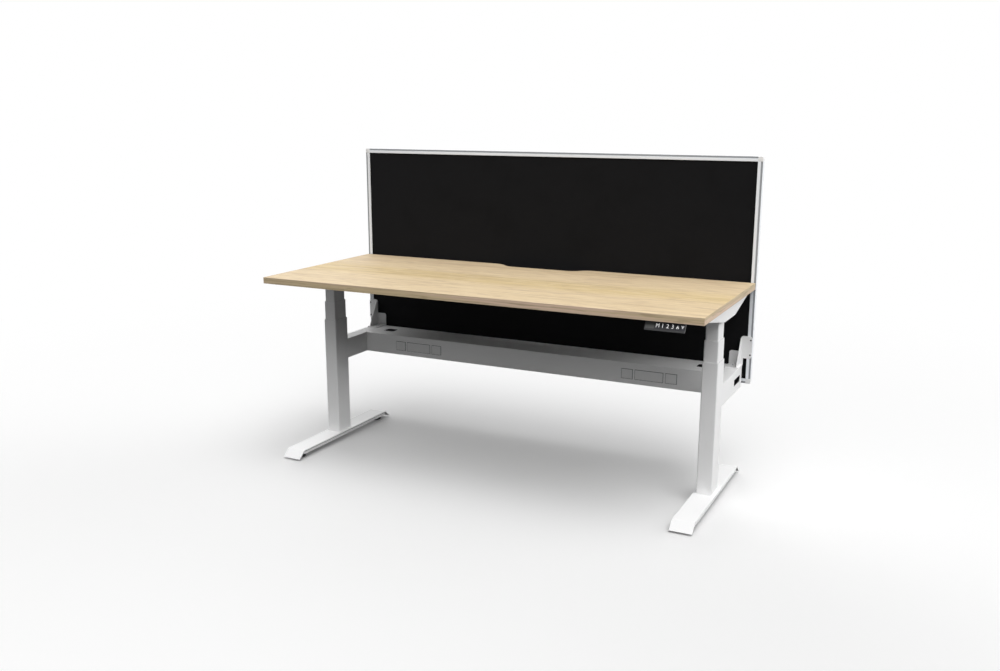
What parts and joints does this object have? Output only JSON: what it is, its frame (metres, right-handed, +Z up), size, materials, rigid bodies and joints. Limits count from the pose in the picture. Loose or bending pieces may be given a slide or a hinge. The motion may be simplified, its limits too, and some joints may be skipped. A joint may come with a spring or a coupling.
{
  "type": "height adjustable workstation",
  "caption": "Electric sit-stand workstation with telescoping legs, oak worktop, rear cable beam and black fabric screen.",
  "frame": {"origin": "on the floor, under the middle of the plan, midway between the two columns", "axes": "+X to the user's right along the worktop, +Y towards the screen, +Z up"},
  "size_m": [1.8, 0.785, 1.265],
  "materials": {
    "white_paint": "fine white powder coat",
    "frame_paint": "satin light grey coat",
    "cap_plastic": "satin",
    "blank_plastic": "satin",
    "board_oak": "matt light oak decor",
    "edge_oak": "matt oak edge band",
    "screen_cloth": "black woven cloth",
    "core_board": "plain fibreboard",
    "black_plastic": "fine texture",
    "key_plastic": "satin with printed legends",
    "display_window": "smoked window",
    "leveller_plastic": "moulded",
    "bright_steel": "zinc plated",
    "cast_alloy": "die cast",
    "motor_paint": "black"
  },
  "bodies": {
    "base": {"left_foot": "white_paint", "right_foot": "white_paint", "left_outer_tube": "white_paint", "right_outer_tube": "white_paint", "outer_glides": "black_plastic", "base_nuts": "bright_steel", "left_arm": "white_paint", "right_arm": "white_paint", "beam_channel": "white_paint", "beam_lid": "white_paint", "outlet_blanks": "blank_plastic", "left_screen_bracket": "white_paint", "right_screen_bracket": "white_paint", "bracket_screws": "bright_steel", "screen_frame_left": "frame_paint", "screen_frame_right": "frame_paint", "screen_frame_top": "frame_paint", "screen_frame_bottom": "frame_paint", "screen_corners": "cap_plastic", "screen_core": "core_board", "screen_fabric_front": "screen_cloth", "screen_fabric_back": "screen_cloth"},
    "desktop": {"tabletop": "board_oak", "front_edge_band": "edge_oak", "rear_edge_band": "edge_oak", "side_edge_bands": "edge_oak", "left_side_support": "white_paint", "right_side_support": "white_paint", "left_inner_tube": "white_paint", "right_inner_tube": "white_paint", "inner_glides": "black_plastic", "gearboxes": "cast_alloy", "motors": "motor_paint", "rail_sleeves": "white_paint", "left_rail_ends": "white_paint", "right_rail_ends": "white_paint", "control_box": "black_plastic", "handset_case": "black_plastic", "handset_display": "display_window", "top_screws": "bright_steel"},
    "left_middle_stage": {"left_middle_tube": "white_paint", "left_middle_glides": "black_plastic", "left_screw_tube": "bright_steel"},
    "left_spindle": {"left_spindle": "bright_steel"},
    "left_front_leveller": {"left_front_leveller": "leveller_plastic"},
    "left_rear_leveller": {"left_rear_leveller": "leveller_plastic"},
    "right_middle_stage": {"right_middle_tube": "white_paint", "right_middle_glides": "black_plastic", "right_screw_tube": "bright_steel"},
    "right_spindle": {"right_spindle": "bright_steel"},
    "right_front_leveller": {"right_front_leveller": "leveller_plastic"},
    "right_rear_leveller": {"right_rear_leveller": "leveller_plastic"},
    "key_memory": {"key_memory": "key_plastic"},
    "key_one": {"key_one": "key_plastic"},
    "key_two": {"key_two": "key_plastic"},
    "key_three": {"key_three": "key_plastic"},
    "key_up": {"key_up": "key_plastic"},
    "key_down": {"key_down": "key_plastic"}
  },
  "joints": [
    {"name": "lift", "type": "slide", "parent": "base", "child": "desktop", "axis": [0, 0, 1], "range_m": [-0.16, 0.49]},
    {"name": "left_middle_slide", "type": "slide", "parent": "base", "child": "left_middle_stage", "axis": [0, 0, 1], "range_m": [-0.08, 0.245]},
    {"name": "left_spindle_turn", "type": "hinge", "parent": "desktop", "child": "left_spindle", "pos_m": [-0.838, 0, 0.6], "axis": [0, 0, 1], "continuous": true},
    {"name": "left_front_leveller_turn", "type": "hinge", "parent": "base", "child": "left_front_leveller", "pos_m": [-0.838, -0.29, 0.01], "axis": [0, 0, 1], "continuous": true},
    {"name": "left_rear_leveller_turn", "type": "hinge", "parent": "base", "child": "left_rear_leveller", "pos_m": [-0.838, 0.29, 0.01], "axis": [0, 0, 1], "continuous": true},
    {"name": "right_middle_slide", "type": "slide", "parent": "base", "child": "right_middle_stage", "axis": [0, 0, 1], "range_m": [-0.08, 0.245]},
    {"name": "right_spindle_turn", "type": "hinge", "parent": "desktop", "child": "right_spindle", "pos_m": [0.838, 0, 0.6], "axis": [0, 0, 1], "continuous": true},
    {"name": "right_front_leveller_turn", "type": "hinge", "parent": "base", "child": "right_front_leveller", "pos_m": [0.838, -0.29, 0.01], "axis": [0, 0, 1], "continuous": true},
    {"name": "right_rear_leveller_turn", "type": "hinge", "parent": "base", "child": "right_rear_leveller", "pos_m": [0.838, 0.29, 0.01], "axis": [0, 0, 1], "continuous": true},
    {"name": "key_memory_press", "type": "slide", "parent": "desktop", "child": "key_memory", "axis": [0, 0.8548, -0.519], "range_m": [0, 0.001], "stiffness_N_per_m": 600},
    {"name": "key_one_press", "type": "slide", "parent": "desktop", "child": "key_one", "axis": [0, 0.8548, -0.519], "range_m": [0, 0.001], "stiffness_N_per_m": 600},
    {"name": "key_two_press", "type": "slide", "parent": "desktop", "child": "key_two", "axis": [0, 0.8548, -0.519], "range_m": [0, 0.001], "stiffness_N_per_m": 600},
    {"name": "key_three_press", "type": "slide", "parent": "desktop", "child": "key_three", "axis": [0, 0.8548, -0.519], "range_m": [0, 0.001], "stiffness_N_per_m": 600},
    {"name": "key_up_press", "type": "slide", "parent": "desktop", "child": "key_up", "axis": [0, 0.8548, -0.519], "range_m": [0, 0.001], "stiffness_N_per_m": 600},
    {"name": "key_down_press", "type": "slide", "parent": "desktop", "child": "key_down", "axis": [0, 0.8548, -0.519], "range_m": [0, 0.001], "stiffness_N_per_m": 600}
  ],
  "couplings": [
    {"joint": "left_middle_slide", "follows": "lift", "ratio": 0.5},
    {"joint": "left_spindle_turn", "follows": "lift", "rad_per_m": 314.16},
    {"joint": "right_middle_slide", "follows": "lift", "ratio": 0.5},
    {"joint": "right_spindle_turn", "follows": "lift", "rad_per_m": 314.16}
  ]
}
